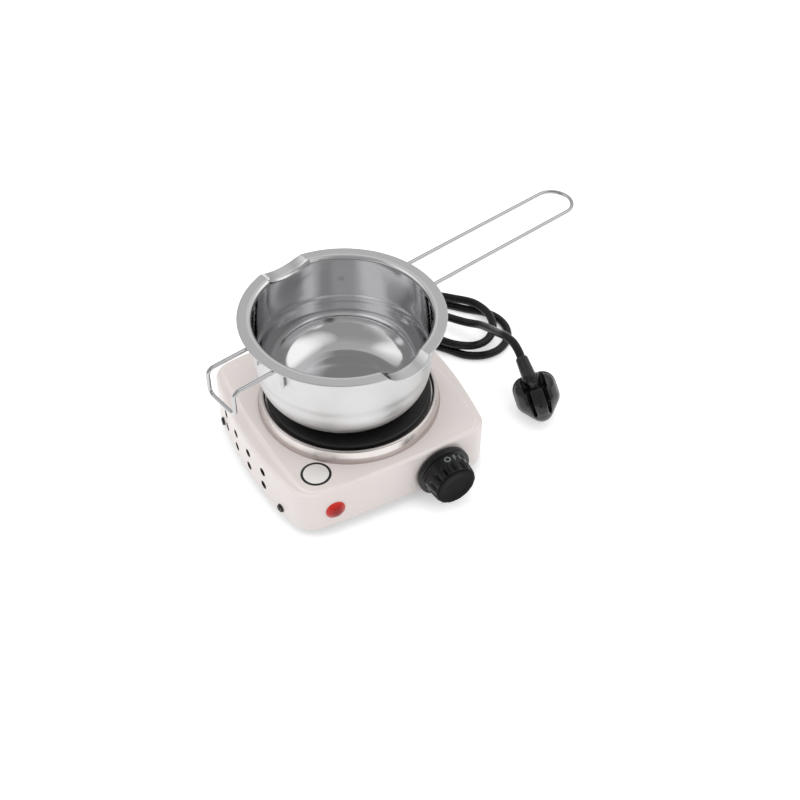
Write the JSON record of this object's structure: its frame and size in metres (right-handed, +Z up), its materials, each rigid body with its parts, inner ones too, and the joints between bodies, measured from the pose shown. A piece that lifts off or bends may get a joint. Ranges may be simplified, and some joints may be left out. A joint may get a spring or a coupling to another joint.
{
  "type": "candle wax melter",
  "caption": "Small electric hotplate in a bowed cream housing, with a steel melting pot that has pouring spouts, a long wire handle and a wire rest, and a loosely coiled mains lead.",
  "frame": {"origin": "middle of the footprint's bounding box without the lead and plug, on the table that the feet stand on", "axes": "+X towards the side that the pot's handle points to, -Y towards the front with the knob, +Z up"},
  "size_m": [0.269, 0.2094, 0.107],
  "materials": {
    "cream_paint": "satin",
    "bright_ring": "polished",
    "black_iron": "satin heat-proof coating",
    "element_sheath": "heat-tinted",
    "zinc_sheet": "zinc plated",
    "screw_steel": "zinc plated",
    "pot_steel": "polished stainless, brushed flange",
    "wire_steel": "polished stainless wire",
    "knob_plastic": "gloss",
    "lamp_red": "clear red, gloss",
    "black_plastic": "matt",
    "plug_plastic": "fine-grained",
    "black_rubber": "satin",
    "white_ceramic": null,
    "brass_terminals": "turned",
    "nickel_pins": "nickel plated",
    "wire_sleeves": "glass-fibre sleeving"
  },
  "bodies": {
    "hotplate_unit": {"housing": "cream_paint", "base_plate": "zinc_sheet", "rubber_feet": "black_rubber", "foot_screws": "screw_steel", "side_screws": "screw_steel", "trim_ring": "bright_ring", "hotplate": "black_iron", "heating_element": "element_sheath", "heat_shield": "zinc_sheet", "centre_stud": "screw_steel", "clamp_nut": "screw_steel", "thermal_cutout": "white_ceramic", "thermostat_body": "white_ceramic", "thermostat_screws": "screw_steel", "lamp_lens": "lamp_red", "lamp_body": "black_plastic", "lamp_clip": "screw_steel", "terminal_block": "white_ceramic", "terminal_screws": "brass_terminals", "earth_screw": "brass_terminals", "inner_wires": "wire_sleeves", "cable_gland": "black_rubber", "mains_lead": "black_rubber", "plug_body": "plug_plastic", "plug_relief": "black_rubber", "plug_pins": "nickel_pins"},
    "control_knob": {"thermostat_shaft": "screw_steel", "knob": "knob_plastic"},
    "melting_pot": {"pot_bowl": "pot_steel", "pot_handle": "wire_steel", "pot_rest": "wire_steel"}
  },
  "joints": [
    {"name": "knob_turn", "type": "hinge", "parent": "hotplate_unit", "child": "control_knob", "pos_m": [-0.01604, -0.0575, 0.02], "axis": [0, 1, 0], "range_deg": [0, 270]},
    {"name": "pot_lift", "type": "slide", "parent": "hotplate_unit", "child": "melting_pot", "axis": [0, 0, 1], "range_m": [0, 0.08]}
  ]
}
